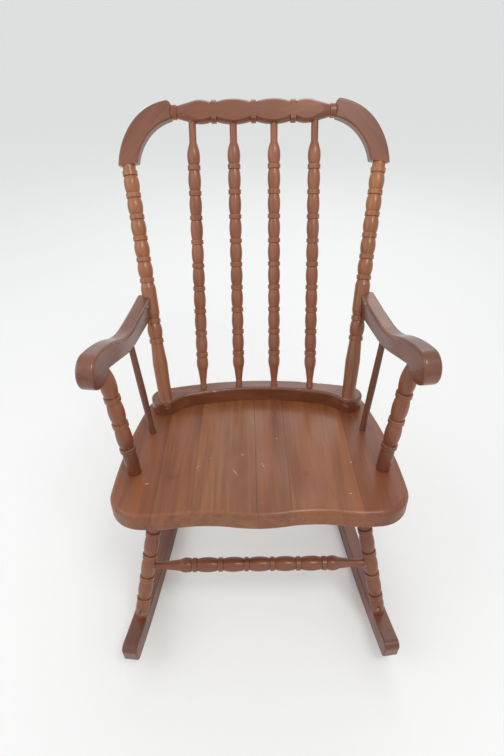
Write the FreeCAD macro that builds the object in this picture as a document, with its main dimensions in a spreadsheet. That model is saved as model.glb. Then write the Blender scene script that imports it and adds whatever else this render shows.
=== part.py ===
import FreeCAD, Part

# Boston rocking chair in turned and bandsawn hardwood, glued up without any moving part.
# Millimetres, +Z up, the sitter looks along -Y, +X is at the right hand side of the picture.
# The origin is on the floor, under the middle of the chair's box.

import math
import os

import Sketcher

Vector = FreeCAD.Vector
Placement = FreeCAD.Placement
Rotation = FreeCAD.Rotation

# Every driving size, in millimetres or degrees. Distances across the chair (x) are taken from
# its middle, and places on the seat are (x, back, up) in the plane of the seat's top.
SIZES = {
    # fits
    "glue_gap": 0.1,
    "socket_floor": 0.4,
    # allowances for drills, saws and clearing cuts, which leave no mark of their own
    "drill_overshoot": 40,
    "recess_mouth": 30,
    "trim_width": 100,
    "trim_depth": 50,
    "clearing_width": 200,
    "clearing_depth": 100,
    "strip_length": 500,
    "strip_height": 100,
    "strip_lead": 120,
    "strip_drop": 70,
    "strip_overlap": 10,
    # seat: a tilted blank of glued boards
    "seat_front_y": -231.0,
    "seat_front_height": 402.8,
    "seat_tilt": 6.05,
    "seat_thickness": 36,
    "seat_side_x": 252,
    "seat_side_swell": 7.5,
    "seat_rear_side_x": 229,
    "seat_rear_side_back": 246,
    "seat_rear_corner_x": 188,
    "seat_rear_corner_back": 283,
    "seat_rear_corner_swell": 8.9,
    "seat_rear_middle_swell": 10,
    "seat_corner_x": 200,
    "seat_corner_lead": 52.8,
    "seat_corner_swell": 13.6,
    "seat_cheek_x": 140,
    "seat_cheek_lead": 51,
    "seat_cheek_swell": 2,
    "seat_nose_x": 42,
    "seat_nose_lead": 51,
    "seat_nose_swell": 3.4,
    "seat_hollow_depth": 4,
    "seat_top_round": 9,
    "seat_bottom_round": 6,
    "board_joint_1": -174,
    "board_joint_2": -112,
    "board_joint_3": -5,
    "board_joint_4": 52,
    "board_joint_5": 169,
    # back rail, the curved riser on the seat
    "rail_thickness": 31,
    "rail_back_swell": 27.5,
    "rail_back_end_x": 196,
    "rail_back_end": 263.5,
    "rail_front_swell": 21,
    "rail_front_end_x": 140,
    "rail_front_end": 240,
    "rail_throat_x": 168,
    "rail_throat": 220,
    "rail_throat_swell": 2.4,
    "rail_lobe_x": 215.5,
    "rail_lobe": 237.5,
    "rail_lobe_swell": 5.4,
    "rail_lobe_end_swell": 17.8,
    "rail_top_round": 5,
    # plane of the back
    "back_recline": 23.52,
    "back_length": 520.5,
    # back spindles
    "spindle_inner_foot_x": 36.8,
    "spindle_inner_head_x": 37.5,
    "spindle_outer_foot_x": 111.4,
    "spindle_outer_head_x": 112.6,
    "spindle_foot_back": 272.3,
    "spindle_outer_lead": 5.6,
    "spindle_head_drop": 20.5,
    "spindle_bulb": 24,
    "spindle_ring": 24,
    "spindle_groove": 19.5,
    "spindle_neck": 13.5,
    "spindle_foot_neck": 13,
    "spindle_pitch": 44.68,
    "spindle_ring_width": 8,
    "spindle_beads": 8,
    "spindle_first_ring": 70.3,
    "spindle_foot_bulb": 28,
    "spindle_head_bulb": 30,
    "spindle_head_neck": 30,
    "spindle_tenon": 11,
    # back posts
    "post_foot_x": 184.8,
    "post_foot_back": 224.5,
    "post_head_x": 234.5,
    "post_head_drop": 88.2,
    "post_bulb": 29,
    "post_ring": 28,
    "post_groove": 23.5,
    "post_barrel": 29,
    "post_foot": 25.5,
    "post_foot_stub": 20,
    "post_swell_height": 74.4,
    "post_tenon_root": 4,
    "post_pitch": 39.6,
    "post_ring_width": 8,
    "post_beads": 5,
    "post_lower_ring": 120,
    "post_neck": 24,
    "post_tenon": 15,
    "post_tenon_length": 18,
    # crest rail
    "crest_half": 150,
    "crest_planed": 28,
    "crest_pitch": 72.3,
    "crest_bulb": 42.5,
    "crest_end_bulb": 38,
    "crest_end_step": 0.5,
    "crest_ring": 39,
    "crest_groove": 33,
    "crest_ring_width": 9,
    "crest_end_ring": 25,
    "crest_end_groove": 21,
    "crest_end_bulb_length": 32,
    # corner blocks
    "block_thickness": 28,
    "block_setback": 2,
    "block_top": 18.5,
    "block_shoulder_x": 231,
    "block_shoulder_drop": 29,
    "block_shoulder_swell": 9.6,
    "block_side_x": 252,
    "block_side_drop": 90,
    "block_side_swell": 4,
    "block_inner_drop": 12.7,
    "block_elbow_x": 196,
    "block_elbow_drop": 41.6,
    "block_elbow_swell": 4.6,
    "block_foot_x": 216,
    "block_foot_drop": 86,
    "block_foot_swell": 3.2,
    "block_corner_round": 8,
    "block_edge_round": 3.5,
    "dowel": 8,
    "dowel_length": 34,
    "dowel_spacing": 13,
    # arms: their heights are above the seat's front edge, and go up and down with the seat
    "arm_width": 28,
    "arm_splay": 6.28,
    "arm_knuckle_x": 246.7,
    "arm_knuckle_y": -183.3,
    "arm_knuckle_height": 223.2,
    "arm_knuckle": 56,
    "arm_reach": 318,
    "arm_rear_top": 194.2,
    "arm_rear_bottom": 147.2,
    "arm_dip": 2,
    "arm_sweep": 4.2,
    "arm_waist_reach": 165,
    "arm_waist_top": 194.2,
    "arm_rise_reach": 98,
    "arm_rise_top": 212.7,
    "arm_bend_reach": 100,
    "arm_bend_bottom": 176.2,
    "arm_belly_reach": 157,
    "arm_belly_bottom": 161.2,
    "arm_belly_swell": 1.8,
    "arm_throat_reach": 38,
    "arm_throat_bottom": 200.8,
    "arm_throat_swell": 2.7,
    "arm_edge_round": 5,
    "arm_flat_lead": 7,
    # front posts and spindles of the arms
    "arm_post_foot_x": 219,
    "arm_post_foot_back": 49,
    "arm_post_head_reach": 37,
    "arm_post_bulb": 27.5,
    "arm_post_ring": 27.5,
    "arm_post_groove": 22,
    "arm_post_barrel": 25,
    "arm_post_foot": 22,
    "arm_post_neck": 19,
    "arm_post_neck_length": 6,
    "arm_post_pitch": 51,
    "arm_post_ring_width": 8,
    "arm_post_beads": 2,
    "arm_post_first_ring": 51,
    "arm_spindle": 13,
    "arm_spindle_end": 11.5,
    "arm_spindle_foot_x": 204.4,
    "arm_spindle_foot_back": 157.6,
    "arm_spindle_head_reach": 162,
    "arm_spindle_entry": 1,
    "arm_tenon": 15,
    # legs
    "leg_bulb": 28.5,
    "leg_ring": 28.5,
    "leg_groove": 23,
    "leg_foot": 24,
    "leg_neck": 24,
    "leg_ring_width": 9,
    "leg_tenon": 20,
    "leg_foot_straight": 8,
    "leg_neck_length": 12,
    "front_leg_foot_x": 241,
    "front_leg_foot_y": -276.3,
    "front_leg_head_x": 180,
    "front_leg_head_back": 65,
    "front_leg_pitch": 53.07,
    "front_leg_beads": 3,
    "front_leg_first_ring": 41.3,
    "rear_leg_pitch": 53.07,
    "rear_leg_beads": 3,
    "rear_leg_first_ring": 41.3,
    "rear_leg_foot_x": 201.8,
    "rear_leg_foot_y": 86.7,
    "rear_leg_head_x": 165,
    "rear_leg_head_back": 226,
    # stretchers
    "stretcher_share": 0.385,
    "stretcher_bulb": 28.3,
    "stretcher_ring": 27,
    "stretcher_groove": 22,
    "stretcher_end": 13,
    "stretcher_pitch": 50.6,
    "stretcher_ring_width": 8,
    "stretcher_beads": 5,
    "stretcher_end_bulb": 24,
    "stretcher_shoulder": 26,
    "rear_stretcher_middle": 22,
    # rockers
    "rocker_radius": 1177,
    "rocker_contact_y": -48.8,
    "rocker_contact_x": 217.2,
    "rocker_depth": 43,
    "rocker_width": 29.5,
    "rocker_splay": 6.5,
    "rocker_front_reach": 308,
    "rocker_rear_reach": 406.5,
    "rocker_nose_round": 15,
    "rocker_heel_round": 6,
    "rocker_edge_bevel": 2,
    # screws
    "screw_shank": 4.5,
    "screw_head": 8,
    "screw_head_height": 3,
    "screw_recess": 4,
    "rail_screw_length": 50,
    "rail_screw_x": 75,
    "rail_screw_bend": 6,
    "arm_screw_length": 52,
    "toe_screw_length": 34,
    "toe_screw_height": 14,
    "toe_screw_slope": 0.62,
}

# Where the round of an arm's knuckle begins and ends, as shares of its radius, and how far each
# of its two arcs stands off its chord.
CROWN_REACH, CROWN_RISE, CROWN_SWELL = 0.18, 0.984, 0.36
THROAT_REACH, THROAT_FALL, THROAT_SWELL = 0.5, 0.866, 0.5

# How far a corner's arc stands off its chord, as a share of the corner's radius.
CORNER_SWELL = 0.29
BLOCK_CORNER_SWELL = 0.32

# Edges that lie this near to a plane are taken as in it.
TOUCH = 0.01

doc = FreeCAD.newDocument("RockingChair")
sheet = doc.addObject("Spreadsheet::Sheet", "Sizes")
for row, (alias, value) in enumerate(SIZES.items(), start=1):
    sheet.set("A%d" % row, alias)
    sheet.set("B%d" % row, str(value))
    sheet.setAlias("B%d" % row, alias)
doc.recompute()

parts = {}
LEFT, RIGHT = -1, 1
SIDES = {"left": LEFT, "right": RIGHT}


def size(alias):
    """The present value of a named size."""
    return float(sheet.get(alias))


def cell(alias):
    """The name of a size as an expression reads it."""
    return "Sizes." + alias


def worked_out(expression):
    """The value of an expression over the sheet."""
    return float(sheet.evalExpression(expression))


def bind(thing, bindings):
    """Bind properties of a document object to expressions over the sheet."""
    for name, expression in bindings.items():
        thing.setExpression(name, expression)


def publish(label, thing):
    """Name a finished sub-part."""
    thing.Label = label
    parts[label] = thing
    return thing


def publish_pair(name, right_piece):
    """Name a right hand piece and its mirror image for the left."""
    publish(name + "_right", right_piece)
    left_piece = doc.addObject("Part::Mirroring", right_piece.Name + "Mirror")
    left_piece.Source = right_piece
    left_piece.Normal = Vector(1, 0, 0)
    publish(name + "_left", left_piece)


# Sketches and features

def origin_item(body, role):
    """A plane or an axis of a body's own origin."""
    return next(item for item in body.Origin.OriginFeatures if item.Role == role)


def pin(sketch, kind, geometry, point, expression):
    """Hold one coordinate of a sketch point at an expression."""
    axis = -2 if kind == "DistanceX" else -1
    if expression == "0":
        sketch.addConstraint(Sketcher.Constraint("PointOnObject", geometry, point, axis))
        return
    value = worked_out(expression)
    index = sketch.addConstraint(Sketcher.Constraint(kind, -1, 1, geometry, point, value))
    sketch.setExpression("Constraints[%d]" % index, expression)


def arc_radius(begin, end, swell):
    """The radius of an arc from its ends and its swell, as an expression."""
    chord_squared = "((%s - (%s))^2 + (%s - (%s))^2)" % (end[0], begin[0], end[1], begin[1])
    return "%s / (8 * abs(%s)) + abs(%s) / 2" % (chord_squared, swell, swell)


def outline(body, name, role, start, steps):
    """A closed sketch through points given as expressions.

    A step is (x, y) for a straight run, or (x, y, swell) for an arc whose middle stands that far
    to the right hand side of its chord, and (x, y, swell, radius) holds the arc by its radius.
    The outline closes with a straight run, unless its last step comes back to the start.
    """
    sketch = body.newObject("Sketcher::SketchObject", name)
    sketch.AttachmentSupport = [(origin_item(body, role), "")]
    sketch.MapMode = "FlatFace"
    corners = [start] + [step[:2] for step in steps]
    bends = [step[2:] for step in steps]
    if corners[-1] == start:
        corners.pop()
    else:
        bends.append(())
    places = [Vector(worked_out(x), worked_out(y), 0) for x, y in corners]
    first_point = []
    for here, bend in enumerate(bends):
        begin = places[here]
        end = places[(here + 1) % len(places)]
        first_point.append(1)
        if not bend:
            sketch.addGeometry(Part.LineSegment(begin, end))
            continue
        swell = worked_out(bend[0])
        chord = end - begin
        rightward = Vector(chord.y, -chord.x, 0).normalize()
        middle = (begin + end) * 0.5 + rightward * swell
        if swell > 0:
            sketch.addGeometry(Part.Arc(begin, middle, end))
        else:
            sketch.addGeometry(Part.Arc(end, middle, begin))
            first_point[-1] = 2
    for here, point in enumerate(first_point):
        after = (here + 1) % len(corners)
        sketch.addConstraint(
            Sketcher.Constraint("Coincident", here, 3 - point, after, first_point[after]))
    for here, (x, y) in enumerate(corners):
        pin(sketch, "DistanceX", here, first_point[here], x)
        pin(sketch, "DistanceY", here, first_point[here], y)
    for here, bend in enumerate(bends):
        if bend:
            after = (here + 1) % len(corners)
            radius = bend[1] if len(bend) > 1 else arc_radius(corners[here], corners[after], bend[0])
            index = sketch.addConstraint(Sketcher.Constraint("Radius", here, worked_out(radius)))
            sketch.setExpression("Constraints[%d]" % index, radius)
    return sketch


def revolved(body, name, start, steps):
    """A turned solid about the body's Z axis: the outline closes along the axis."""
    sketch = outline(body, name + "Profile", "XZ_Plane", start, steps)
    turning = body.newObject("PartDesign::Revolution", name)
    turning.Profile = sketch
    turning.ReferenceAxis = (sketch, ["V_Axis"])
    turning.Angle = 360
    return turning


def repeated(body, name, feature, pitch, count):
    """A row of equal beads up the body's Z axis."""
    pattern = body.newObject("PartDesign::LinearPattern", name)
    pattern.Originals = [feature]
    pattern.Direction = (origin_item(body, "Z_Axis"), [""])
    pattern.Mode = "Extent"
    bind(pattern, {"Length": "%s * (%s - 1)" % (pitch, count), "Occurrences": count})
    body.Tip = pattern
    return pattern


def padded(body, name, sketch, thickness, midplane=True):
    """A board of even thickness, sawn to the sketch."""
    pad = body.newObject("PartDesign::Pad", name)
    pad.Profile = sketch
    pad.Midplane = midplane
    bind(pad, {"Length": thickness})
    return pad


def rounded(body, name, base, radius, picks):
    """Fillets on the edges of a feature that a test picks."""
    doc.recompute()
    chosen = ["Edge%d" % (number + 1) for number, edge in enumerate(base.Shape.Edges) if picks(edge)]
    fillet = body.newObject("PartDesign::Fillet", name)
    fillet.Base = (base, chosen)
    bind(fillet, {"Radius": radius})
    return fillet


def bevelled(body, name, base, width, picks):
    """Bevels on the edges of a feature that a test picks."""
    doc.recompute()
    chosen = ["Edge%d" % (number + 1) for number, edge in enumerate(base.Shape.Edges) if picks(edge)]
    chamfer = body.newObject("PartDesign::Chamfer", name)
    chamfer.Base = (base, chosen)
    bind(chamfer, {"Size": width})
    return chamfer


def in_plane(edge, axis, place):
    """Whether an edge lies in the plane across an axis at a place."""
    box = edge.BoundBox
    low, high = {"x": (box.XMin, box.XMax), "y": (box.YMin, box.YMax), "z": (box.ZMin, box.ZMax)}[axis]
    return abs(low - place) < TOUCH and abs(high - place) < TOUCH


# Places

def on_seat(x, back, up):
    """A point given across, back along and up from the seat's top, in the chair's frame."""
    tilt = math.radians(size("seat_tilt"))
    y = size("seat_front_y") + back * math.cos(tilt) + up * math.sin(tilt)
    z = size("seat_front_height") - back * math.sin(tilt) + up * math.cos(tilt)
    return Vector(x, y, z)


def seat_placement():
    """The seat's own frame: X across, Y back along the top, Z square to it."""
    return Placement(on_seat(0, 0, 0), Rotation(Vector(1, 0, 0), -size("seat_tilt")))


def back_placement():
    """The frame of the back's plane: X across, Y down behind, Z up the plane from the crest axis."""
    recline = math.radians(size("back_recline"))
    foot = on_seat(0, size("spindle_foot_back"), size("rail_thickness"))
    rise = Vector(0, math.sin(recline), math.cos(recline)) * size("back_length")
    return Placement(foot + rise, Rotation(Vector(1, 0, 0), -size("back_recline")))


def on_back(x, up):
    """A point in the plane of the back, measured up from the axis of the crest."""
    return back_placement().multVec(Vector(x, 0, up))


def stick(foot, head):
    """The placement of a stick that stands on foot and points to head."""
    return Placement(foot, Rotation(Vector(0, 0, 1), head - foot))


def between(foot, head, share):
    """The point at a share of the way from foot to head."""
    return foot + (head - foot) * share


def length_of(foot, head):
    """The distance of two points, as an expression would hold it."""
    return "%.4f" % foot.distanceToPoint(head)


# Joinery

def cylinder(name, diameter, length, placement):
    """A round pin or drill whose diameter and length are expressions."""
    pin_solid = doc.addObject("Part::Cylinder", name)
    bind(pin_solid, {"Radius": "(%s) / 2" % diameter, "Height": length})
    pin_solid.Placement = placement
    return pin_solid


def drill(name, tenon, depth, foot, toward):
    """A socket for a round tenon: from foot it goes depth deep, away from toward."""
    direction = (foot - toward).normalize()
    start = foot - direction * size("drill_overshoot")
    return cylinder(name, "%s + 2 * Sizes.glue_gap" % tenon,
                    "%s + Sizes.socket_floor + Sizes.drill_overshoot" % depth,
                    Placement(start, Rotation(Vector(0, 0, 1), direction)))


def cut(name, base, tools):
    """A piece with sockets or scribes cut into it."""
    tool = tools[0]
    if len(tools) > 1:
        tool = doc.addObject("Part::MultiFuse", name + "Tools")
        tool.Shapes = tools
    result = doc.addObject("Part::Cut", name)
    result.Base = base
    result.Tool = tool
    return result


def joined(name, pieces):
    """One solid from overlapping ones."""
    result = doc.addObject("Part::MultiFuse", name)
    result.Shapes = pieces
    return result


# Turned work

def bead_steps(groove, bulb, ring, ring_width, z, pitch):
    """One bulb and the ring above it, from z, as steps of a profile outward from the axis."""
    ring_foot = "%s + %s - %s" % (z, pitch, ring_width)
    ring_head = "%s + %s" % (z, pitch)
    swell = "(%s - %s) / 2" % (bulb, groove)
    return [
        ("%s / 2" % groove, ring_foot, swell),
        ("%s / 2" % ring, ring_foot),
        ("%s / 2" % ring, ring_head),
        ("%s / 2" % groove, ring_head),
    ]


def beads(body, kind, z, pitch, count, groove, bulb, ring, ring_width):
    """A patterned run of bulbs and rings, the first bulb standing at z."""
    profile = bead_steps(groove, bulb, ring, ring_width, z, pitch)
    unit = revolved(body, kind + "Bead", ("0", z), [("%s / 2" % groove, z)] + profile
                    + [("0", profile[-1][1])])
    return repeated(body, kind + "Beads", unit, pitch, count)


def spindle_body(name, length):
    """A back spindle: tenons, a tapered neck at each end and nine rings between bulbs."""
    body = doc.addObject("PartDesign::Body", name)
    ring = "Sizes.spindle_ring / 2"
    groove = "Sizes.spindle_groove / 2"
    foot_neck = "Sizes.spindle_foot_neck / 2"
    neck = "Sizes.spindle_neck / 2"
    ring_foot = "Sizes.spindle_first_ring - Sizes.spindle_ring_width / 2"
    ring_head = "Sizes.spindle_first_ring + Sizes.spindle_ring_width / 2"
    bulb_swell = "(Sizes.spindle_bulb - Sizes.spindle_groove) / 2"
    revolved(body, "Foot", ("0", "-Sizes.spindle_tenon"), [
        (foot_neck, "-Sizes.spindle_tenon"),
        (foot_neck, "Sizes.spindle_foot_neck"),
        (groove, "%s - Sizes.spindle_foot_bulb" % ring_foot),
        (groove, ring_foot, bulb_swell),
        (ring, ring_foot),
        (ring, ring_head),
        ("0", ring_head),
    ])
    beads(body, "Spindle", ring_head, cell("spindle_pitch"), cell("spindle_beads"),
          cell("spindle_groove"), cell("spindle_bulb"), cell("spindle_ring"),
          cell("spindle_ring_width"))
    top = "%s + Sizes.spindle_pitch * Sizes.spindle_beads" % ring_head
    bulb_top = "%s + Sizes.spindle_head_bulb" % top
    head = revolved(body, "Head", ("0", top), [
        (groove, top),
        (groove, bulb_top, bulb_swell),
        (neck, "%s - Sizes.spindle_head_neck" % length),
        (neck, "%s + Sizes.spindle_tenon" % length),
        ("0", "%s + Sizes.spindle_tenon" % length),
    ])
    body.Tip = head
    return body


def make_spindles():
    """Four turned spindles between the back rail and the crest."""
    for number, (share, line) in enumerate(
            [(LEFT, "outer"), (LEFT, "inner"), (RIGHT, "inner"), (RIGHT, "outer")], start=1):
        foot, head = spindle_ends(share, line)
        body = spindle_body("BackSpindle%d" % number, length_of(foot, head))
        body.Placement = stick(foot, head)
        publish("back_spindle_%d" % number, body)


def spindle_ends(side, line):
    """Foot on the rail and head at the crest of a back spindle."""
    lead = size("spindle_outer_lead") if line == "outer" else 0
    foot = on_seat(side * size("spindle_%s_foot_x" % line), size("spindle_foot_back") - lead,
                   size("rail_thickness"))
    head = on_back(side * size("spindle_%s_head_x" % line), -size("spindle_head_drop"))
    return foot, head


def all_spindle_ends():
    """The ends of the four back spindles."""
    return [spindle_ends(side, line) for side in (LEFT, RIGHT) for line in ("inner", "outer")]


def post_ends(side):
    """Foot on the rail and head at the corner block of a back post."""
    foot = on_seat(side * size("post_foot_x"), size("post_foot_back"), size("rail_thickness"))
    return foot, on_back(side * size("post_head_x"), -size("post_head_drop"))


def post_body(name, length):
    """A back post: mitred foot, a plain barrel for the arm, and rings up to the block."""
    body = doc.addObject("PartDesign::Body", name)
    ring = "Sizes.post_ring / 2"
    groove = "Sizes.post_groove / 2"
    half_ring = "Sizes.post_ring_width / 2"
    low = "Sizes.post_lower_ring"
    second = "%s + Sizes.post_pitch" % low
    third = "%s + 3 * Sizes.post_pitch" % low
    bulb_swell = "(Sizes.post_bulb - Sizes.post_groove) / 2"
    revolved(body, "Foot", ("0", "-Sizes.post_foot_stub"), [
        ("Sizes.post_foot / 2", "-Sizes.post_foot_stub"),
        ("Sizes.post_foot / 2", "0"),
        ("Sizes.post_barrel / 2", "Sizes.post_swell_height"),
        (groove, "%s - %s" % (low, half_ring)),
        (ring, "%s - %s" % (low, half_ring)),
        (ring, "%s + %s" % (low, half_ring)),
        (groove, "%s + %s" % (low, half_ring)),
        (groove, "%s - %s" % (second, half_ring), bulb_swell),
        (ring, "%s - %s" % (second, half_ring)),
        (ring, "%s + %s" % (second, half_ring)),
        (groove, "%s + %s" % (second, half_ring)),
        ("Sizes.post_barrel / 2", "%s + Sizes.post_barrel / 2" % second),
        ("Sizes.post_barrel / 2", "%s - Sizes.post_barrel / 2" % third),
        (groove, "%s - %s" % (third, half_ring)),
        (ring, "%s - %s" % (third, half_ring)),
        (ring, "%s + %s" % (third, half_ring)),
        ("0", "%s + %s" % (third, half_ring)),
    ])
    start = "%s + %s" % (third, half_ring)
    beads(body, "Post", start, cell("post_pitch"), cell("post_beads"), cell("post_groove"),
          cell("post_bulb"), cell("post_ring"), cell("post_ring_width"))
    top = "%s + Sizes.post_pitch * Sizes.post_beads" % start
    head = revolved(body, "Head", ("0", top), [
        ("Sizes.post_neck / 2", top),
        ("Sizes.post_neck / 2", length),
        ("Sizes.post_tenon / 2", length),
        ("Sizes.post_tenon / 2", "%s + Sizes.post_tenon_length" % length),
        ("0", "%s + Sizes.post_tenon_length" % length),
    ])
    body.Tip = head
    return body


def make_posts():
    """Two back posts, their feet sawn flush with the top of the rail round a tenon."""
    foot, head = post_ends(RIGHT)
    body = post_body("BackPostTurning", length_of(foot, head))
    body.Placement = stick(foot, head)
    below = doc.addObject("Part::Box", "BelowRailTop")
    bind(below, {"Length": cell("trim_width"), "Width": cell("trim_width"),
                 "Height": cell("trim_depth")})
    reach = size("trim_width") / 2
    corner = Vector(size("post_foot_x") - reach, size("post_foot_back") - reach,
                    size("rail_thickness") - size("trim_depth"))
    below.Placement = seat_placement() * Placement(corner, Rotation())
    sawn = cut("SawnPost", body, [below])
    tenon = cylinder("PostTenon", cell("post_tenon"), "Sizes.post_tenon_length + Sizes.post_tenon_root",
                     stick(foot + (head - foot).normalize() * size("post_tenon_root"), foot))
    post = joined("TenonedPost", [sawn, tenon])
    hole = screw_hole("PostScrewHole", cell("arm_screw_length"), arm_screw_frame(RIGHT))
    publish_pair("back_post", cut("BackPost", post, hole))


def arm_frame(side):
    """The frame of an arm: Y runs back along it from the knuckle, Z up from the seat's front edge."""
    knuckle = Vector(side * size("arm_knuckle_x"), size("arm_knuckle_y"), size("seat_front_height"))
    return Placement(knuckle, Rotation(Vector(0, 0, 1), side * size("arm_splay")))


def on_arm(side, reach, height):
    """A point in the middle plane of an arm."""
    return arm_frame(side).multVec(Vector(0, reach, height))


def arm_screw_frame(side):
    """A screw driven forward through the back post into the rear end of the arm."""
    foot, head = post_ends(side)
    axis = (head - foot).normalize()
    middle = size("seat_front_height") + (size("arm_rear_top") + size("arm_rear_bottom")) / 2
    centre = between(foot, head, (middle - foot.z) / (head.z - foot.z))
    across = Vector(1, 0, 0)
    backward = across.cross(axis).normalize() * -1
    if backward.y < 0:
        backward = backward * -1
    start = centre + backward * (size("post_barrel") / 2 - size("screw_recess"))
    return Placement(start, Rotation(Vector(0, 0, 1), backward * -1))


def arm_post_ends(side):
    """Foot on the seat and head in the arm of a front arm post."""
    foot = on_seat(side * size("arm_post_foot_x"), size("arm_post_foot_back"), 0)
    return foot, on_arm(side, size("arm_post_head_reach"), size("arm_throat_bottom"))


def arm_spindle_ends(side):
    """Foot on the seat and head in the arm of the plain spindle behind it."""
    foot = on_seat(side * size("arm_spindle_foot_x"), size("arm_spindle_foot_back"), 0)
    height = size("arm_belly_bottom") + size("arm_spindle_entry")
    return foot, on_arm(side, size("arm_spindle_head_reach"), height)


def arm_post_body(name, length):
    """A front arm post: plain barrel at the foot, three rings, a long bulb under the arm."""
    body = doc.addObject("PartDesign::Body", name)
    half_ring = "Sizes.arm_post_ring_width / 2"
    ring_foot = "Sizes.arm_post_first_ring - %s" % half_ring
    ring_head = "Sizes.arm_post_first_ring + %s" % half_ring
    revolved(body, "Foot", ("0", "-Sizes.arm_tenon"), [
        ("Sizes.arm_post_foot / 2", "-Sizes.arm_tenon"),
        ("Sizes.arm_post_foot / 2", "0"),
        ("Sizes.arm_post_groove / 2", ring_foot, "(Sizes.arm_post_barrel - Sizes.arm_post_foot) / 2"),
        ("Sizes.arm_post_ring / 2", ring_foot),
        ("Sizes.arm_post_ring / 2", ring_head),
        ("0", ring_head),
    ])
    beads(body, "ArmPost", ring_head, cell("arm_post_pitch"), cell("arm_post_beads"),
          cell("arm_post_groove"), cell("arm_post_bulb"), cell("arm_post_ring"),
          cell("arm_post_ring_width"))
    top = "%s + Sizes.arm_post_pitch * Sizes.arm_post_beads" % ring_head
    head = revolved(body, "Head", ("0", top), [
        ("Sizes.arm_post_groove / 2", top),
        ("Sizes.arm_post_neck / 2", "%s - Sizes.arm_post_neck_length" % length,
         "(Sizes.arm_post_bulb - Sizes.arm_post_neck / 2 - Sizes.arm_post_groove / 2) / 2"),
        ("Sizes.arm_post_neck / 2", "%s + Sizes.arm_tenon" % length),
        ("0", "%s + Sizes.arm_tenon" % length),
    ])
    body.Tip = head
    return body


def make_arm_supports():
    """The turned front posts and the plain spindles that carry the arms."""
    foot, head = arm_post_ends(RIGHT)
    post = arm_post_body("ArmPost", length_of(foot, head))
    post.Placement = stick(foot, head)
    publish_pair("arm_post", post)
    foot, head = arm_spindle_ends(RIGHT)
    length = length_of(foot, head)
    body = doc.addObject("PartDesign::Body", "ArmSpindle")
    end = "Sizes.arm_spindle_end / 2"
    revolved(body, "Dowel", ("0", "-Sizes.arm_tenon"), [
        (end, "-Sizes.arm_tenon"),
        (end, "0"),
        ("Sizes.arm_spindle / 2", "%s / 2" % length),
        (end, length),
        (end, "%s + Sizes.arm_tenon" % length),
        ("0", "%s + Sizes.arm_tenon" % length),
    ])
    body.Placement = stick(foot, head)
    publish_pair("arm_spindle", body)


def arm_profile(body):
    """Side view of an arm: knuckle, swan-necked rise and the level rear that meets the post."""
    knuckle = "Sizes.arm_knuckle / 2"
    height = "Sizes.arm_knuckle_height"
    crown_y = "%s * %g" % (knuckle, CROWN_REACH)
    crown_z = "%s + %s * %g" % (height, knuckle, CROWN_RISE)
    throat_y = "%s * %g" % (knuckle, THROAT_REACH)
    throat_z = "%s - %s * %g" % (height, knuckle, THROAT_FALL)
    return outline(body, "SideView", "YZ_Plane", (crown_y, crown_z), [
        ("-%s" % knuckle, height, "%s * %g" % (knuckle, CROWN_SWELL)),
        (throat_y, throat_z, "%s * %g" % (knuckle, THROAT_SWELL)),
        ("Sizes.arm_throat_reach", "Sizes.arm_throat_bottom", "-Sizes.arm_throat_swell"),
        ("Sizes.arm_bend_reach", "Sizes.arm_bend_bottom"),
        ("Sizes.arm_belly_reach", "Sizes.arm_belly_bottom", "Sizes.arm_belly_swell"),
        ("Sizes.arm_reach", "Sizes.arm_rear_bottom"),
        ("Sizes.arm_reach", "Sizes.arm_rear_top"),
        ("Sizes.arm_waist_reach", "Sizes.arm_waist_top", "-Sizes.arm_dip"),
        ("Sizes.arm_rise_reach", "Sizes.arm_rise_top", "-Sizes.arm_sweep"),
        (crown_y, crown_z, "Sizes.arm_sweep"),
    ])


def make_arms():
    """Two bandsawn arms, their rear ends scribed round the barrels of the back posts."""
    body = doc.addObject("PartDesign::Body", "ArmBlank")
    board = padded(body, "Board", arm_profile(body), cell("arm_width"))
    half = size("arm_width") / 2
    reach = size("arm_reach")
    rounded(body, "Softened", board, cell("arm_edge_round"),
            lambda edge: (in_plane(edge, "x", half) or in_plane(edge, "x", -half))
            and not in_plane(edge, "y", reach))
    body.Placement = arm_frame(RIGHT)
    foot, head = post_ends(RIGHT)
    post = stick(foot, head)
    post_length = length_of(foot, head)
    scribe = cylinder("PostScribe", "Sizes.post_barrel + 2 * Sizes.glue_gap", post_length, post)
    behind = doc.addObject("Part::Box", "BehindPost")
    bind(behind, {"Length": cell("clearing_width"), "Width": cell("clearing_depth"),
                  "Height": post_length})
    behind.Placement = post * Placement(
        Vector(-size("clearing_width") / 2, -size("arm_flat_lead"), 0), Rotation())
    front_foot, front_head = arm_post_ends(RIGHT)
    rear_foot, rear_head = arm_spindle_ends(RIGHT)
    tools = [
        scribe,
        behind,
        drill("ArmPostMortise", cell("arm_post_neck"), cell("arm_tenon"), front_head, front_foot),
        drill("ArmSpindleMortise", cell("arm_spindle_end"), cell("arm_tenon"), rear_head, rear_foot),
    ]
    tools += screw_hole("ArmScrewHole", cell("arm_screw_length"), arm_screw_frame(RIGHT))
    publish_pair("arm", cut("Arm", body, tools))
    screws("arm_screws", "ArmScrews", cell("arm_screw_length"),
           [arm_screw_frame(side) for side in (LEFT, RIGHT)])


# Crest and corner blocks

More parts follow.
